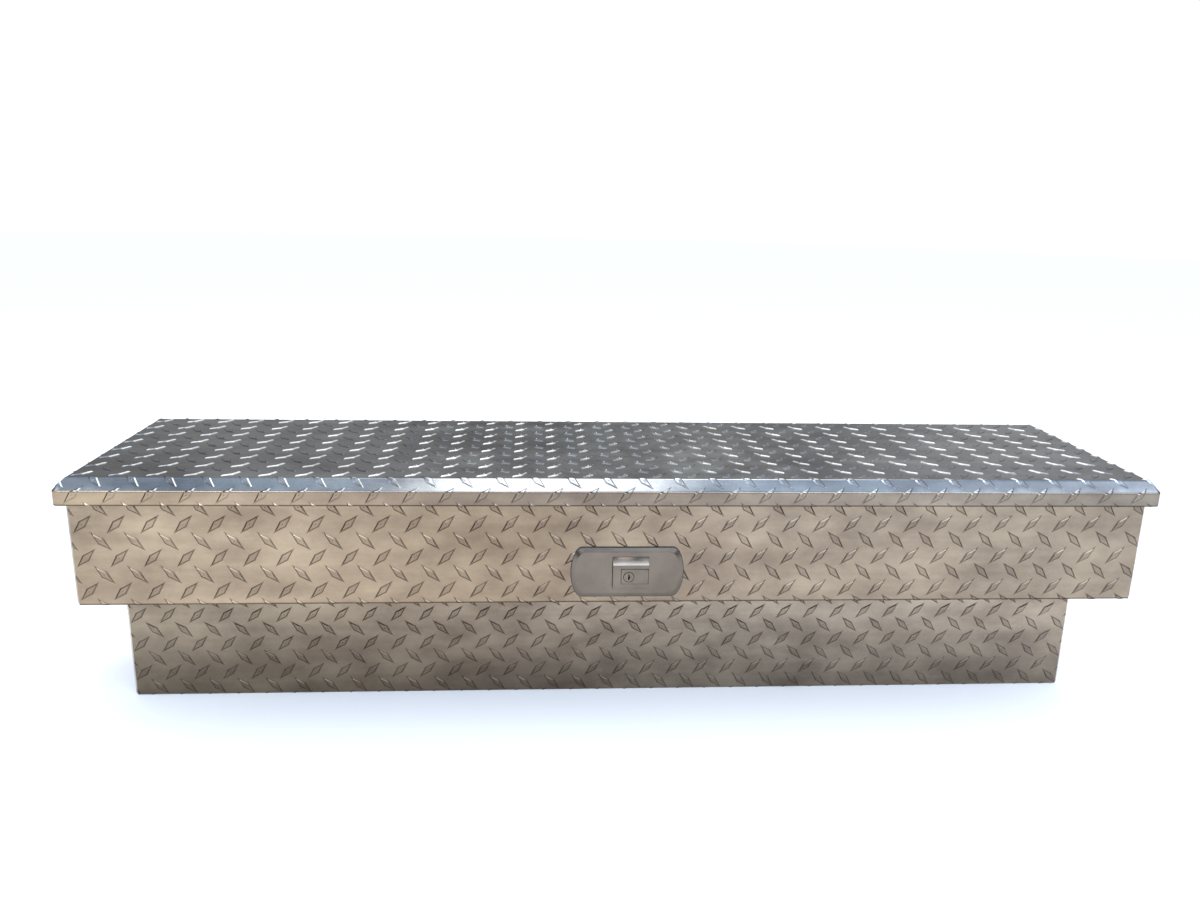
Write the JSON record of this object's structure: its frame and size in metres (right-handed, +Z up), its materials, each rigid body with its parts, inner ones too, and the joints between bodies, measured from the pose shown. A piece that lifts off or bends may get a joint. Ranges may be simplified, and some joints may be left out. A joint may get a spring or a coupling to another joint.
{
  "type": "truck tool box",
  "caption": "Side-rail truck tool box of bent aluminium tread plate: stepped tub, one rear-hinged lid, sprung push-button lock, rods to rotary latches, gas struts.",
  "frame": {"origin": "under the middle of the box at the height of its base", "axes": "+X along the box's length, to the right seen from the front; +Y from the front to the hinge side; +Z up"},
  "size_m": [1.54, 0.368, 0.407],
  "materials": {
    "tread_plate": "satin rolled tread plate with raised lugs",
    "stainless": "polished stainless steel with fine scratches",
    "zinc_steel": "zinc plated steel",
    "rubber": "matte sponge rubber",
    "nylon": "black nylon",
    "black_steel": "semi-gloss black paint",
    "chrome_rod": "hard chrome"
  },
  "bodies": {
    "tub": {"front_panel": "tread_plate", "step_panel": "tread_plate", "floor_panel": "tread_plate", "back_panel": "tread_plate", "end_cap_left": "tread_plate", "end_cap_right": "tread_plate", "rim_seal": "rubber", "hinge_spacer": "stainless", "hinge_leaf_tub": "stainless", "hinge_pin": "stainless", "latch_gasket": "rubber", "latch_pan": "stainless", "button_housing": "stainless", "gear_plate": "zinc_steel", "crank_pin_left": "zinc_steel", "crank_pin_right": "zinc_steel", "rod_guide_left": "nylon", "rod_guide_right": "nylon", "latch_body_left": "zinc_steel", "latch_body_right": "zinc_steel", "latch_rear_plate_left": "zinc_steel", "latch_rear_plate_right": "zinc_steel", "claw_pin_left": "zinc_steel", "claw_pin_right": "zinc_steel", "pawl_pin_left": "zinc_steel", "pawl_pin_right": "zinc_steel", "strut_bracket_tub_left": "zinc_steel", "strut_bracket_tub_right": "zinc_steel"},
    "lid": {"lid_skin": "tread_plate", "lid_stiffener": "tread_plate", "hinge_leaf_lid": "stainless", "striker_left": "zinc_steel", "striker_right": "zinc_steel", "strut_bracket_lid_left": "zinc_steel", "strut_bracket_lid_right": "zinc_steel"},
    "button": {"push_button": "stainless"},
    "lock": {"lock_cylinder": "stainless"},
    "crank_left": {"crank_left": "zinc_steel"},
    "crank_right": {"crank_right": "zinc_steel"},
    "rod_left": {"rod_left": "zinc_steel"},
    "rod_right": {"rod_right": "zinc_steel"},
    "pawl_left": {"pawl_left": "zinc_steel"},
    "pawl_right": {"pawl_right": "zinc_steel"},
    "claw_left": {"claw_left": "zinc_steel"},
    "claw_right": {"claw_right": "zinc_steel"},
    "strut_cylinder_left": {"strut_cylinder_left": "black_steel"},
    "strut_cylinder_right": {"strut_cylinder_right": "black_steel"},
    "strut_rod_left": {"strut_rod_left": "chrome_rod"},
    "strut_rod_right": {"strut_rod_right": "chrome_rod"}
  },
  "joints": [
    {"name": "lid_hinge", "type": "hinge", "parent": "tub", "child": "lid", "pos_m": [0, 0.18115, 0.37], "axis": [-1, 0, 0], "range_deg": [0, 75]},
    {"name": "strut_foot_left", "type": "hinge", "parent": "tub", "child": "strut_cylinder_left", "pos_m": [-0.722, 0.12115, 0.22], "axis": [-1, 0, 0], "range_deg": [0, 38]},
    {"name": "strut_head_left", "type": "hinge", "parent": "lid", "child": "strut_rod_left", "pos_m": [-0.722, 0.02115, 0.392], "axis": [-1, 0, 0], "range_deg": [-38, 0]},
    {"name": "strut_foot_right", "type": "hinge", "parent": "tub", "child": "strut_cylinder_right", "pos_m": [0.722, 0.12115, 0.22], "axis": [-1, 0, 0], "range_deg": [0, 38]},
    {"name": "strut_head_right", "type": "hinge", "parent": "lid", "child": "strut_rod_right", "pos_m": [0.722, 0.02115, 0.392], "axis": [-1, 0, 0], "range_deg": [-38, 0]},
    {"name": "button_push", "type": "slide", "parent": "tub", "child": "button", "axis": [0, 1, 0], "range_m": [0, 0.006], "stiffness_N_per_m": 600, "springref_m": -0.004},
    {"name": "lock_turn", "type": "hinge", "parent": "button", "child": "lock", "pos_m": [0.004, -0.181, 0.2655], "axis": [0, 1, 0], "range_deg": [0, 90]},
    {"name": "crank_turn_left", "type": "hinge", "parent": "tub", "child": "crank_left", "pos_m": [-0.02275, -0.14645, 0.2975], "axis": [0, 0, 1], "range_deg": [0, 16]},
    {"name": "rod_slide_left", "type": "slide", "parent": "tub", "child": "rod_left", "axis": [-1, 0, 0], "range_m": [0, 0.0056]},
    {"name": "pawl_turn_left", "type": "hinge", "parent": "tub", "child": "pawl_left", "pos_m": [-0.594, -0.11764, 0.312], "axis": [0, 1, 0], "range_deg": [0, 16]},
    {"name": "claw_turn_left", "type": "hinge", "parent": "tub", "child": "claw_left", "pos_m": [-0.62, -0.11764, 0.35], "axis": [0, 1, 0], "range_deg": [0, 45], "stiffness_Nm_per_rad": 0.05, "springref_deg": -20.05},
    {"name": "crank_turn_right", "type": "hinge", "parent": "tub", "child": "crank_right", "pos_m": [0.03725, -0.14645, 0.2975], "axis": [0, 0, -1], "range_deg": [0, 16]},
    {"name": "rod_slide_right", "type": "slide", "parent": "tub", "child": "rod_right", "axis": [1, 0, 0], "range_m": [0, 0.0056]},
    {"name": "pawl_turn_right", "type": "hinge", "parent": "tub", "child": "pawl_right", "pos_m": [0.594, -0.11764, 0.312], "axis": [0, -1, 0], "range_deg": [0, 16]},
    {"name": "claw_turn_right", "type": "hinge", "parent": "tub", "child": "claw_right", "pos_m": [0.62, -0.11764, 0.35], "axis": [0, -1, 0], "range_deg": [0, 45], "stiffness_Nm_per_rad": 0.05, "springref_deg": -20.05}
  ],
  "couplings": [
    {"joint": "strut_foot_left", "follows": "lid_hinge", "ratio": 0.5},
    {"joint": "strut_head_left", "follows": "lid_hinge", "ratio": -0.5},
    {"joint": "strut_foot_right", "follows": "lid_hinge", "ratio": 0.5},
    {"joint": "strut_head_right", "follows": "lid_hinge", "ratio": -0.5},
    {"joint": "crank_turn_left", "follows": "button_push", "rad_per_m": 46.05},
    {"joint": "rod_slide_left", "follows": "button_push", "ratio": 0.918},
    {"joint": "pawl_turn_left", "follows": "button_push", "rad_per_m": 46.05},
    {"joint": "crank_turn_right", "follows": "button_push", "rad_per_m": 46.05},
    {"joint": "rod_slide_right", "follows": "button_push", "ratio": 0.918},
    {"joint": "pawl_turn_right", "follows": "button_push", "rad_per_m": 46.05}
  ]
}
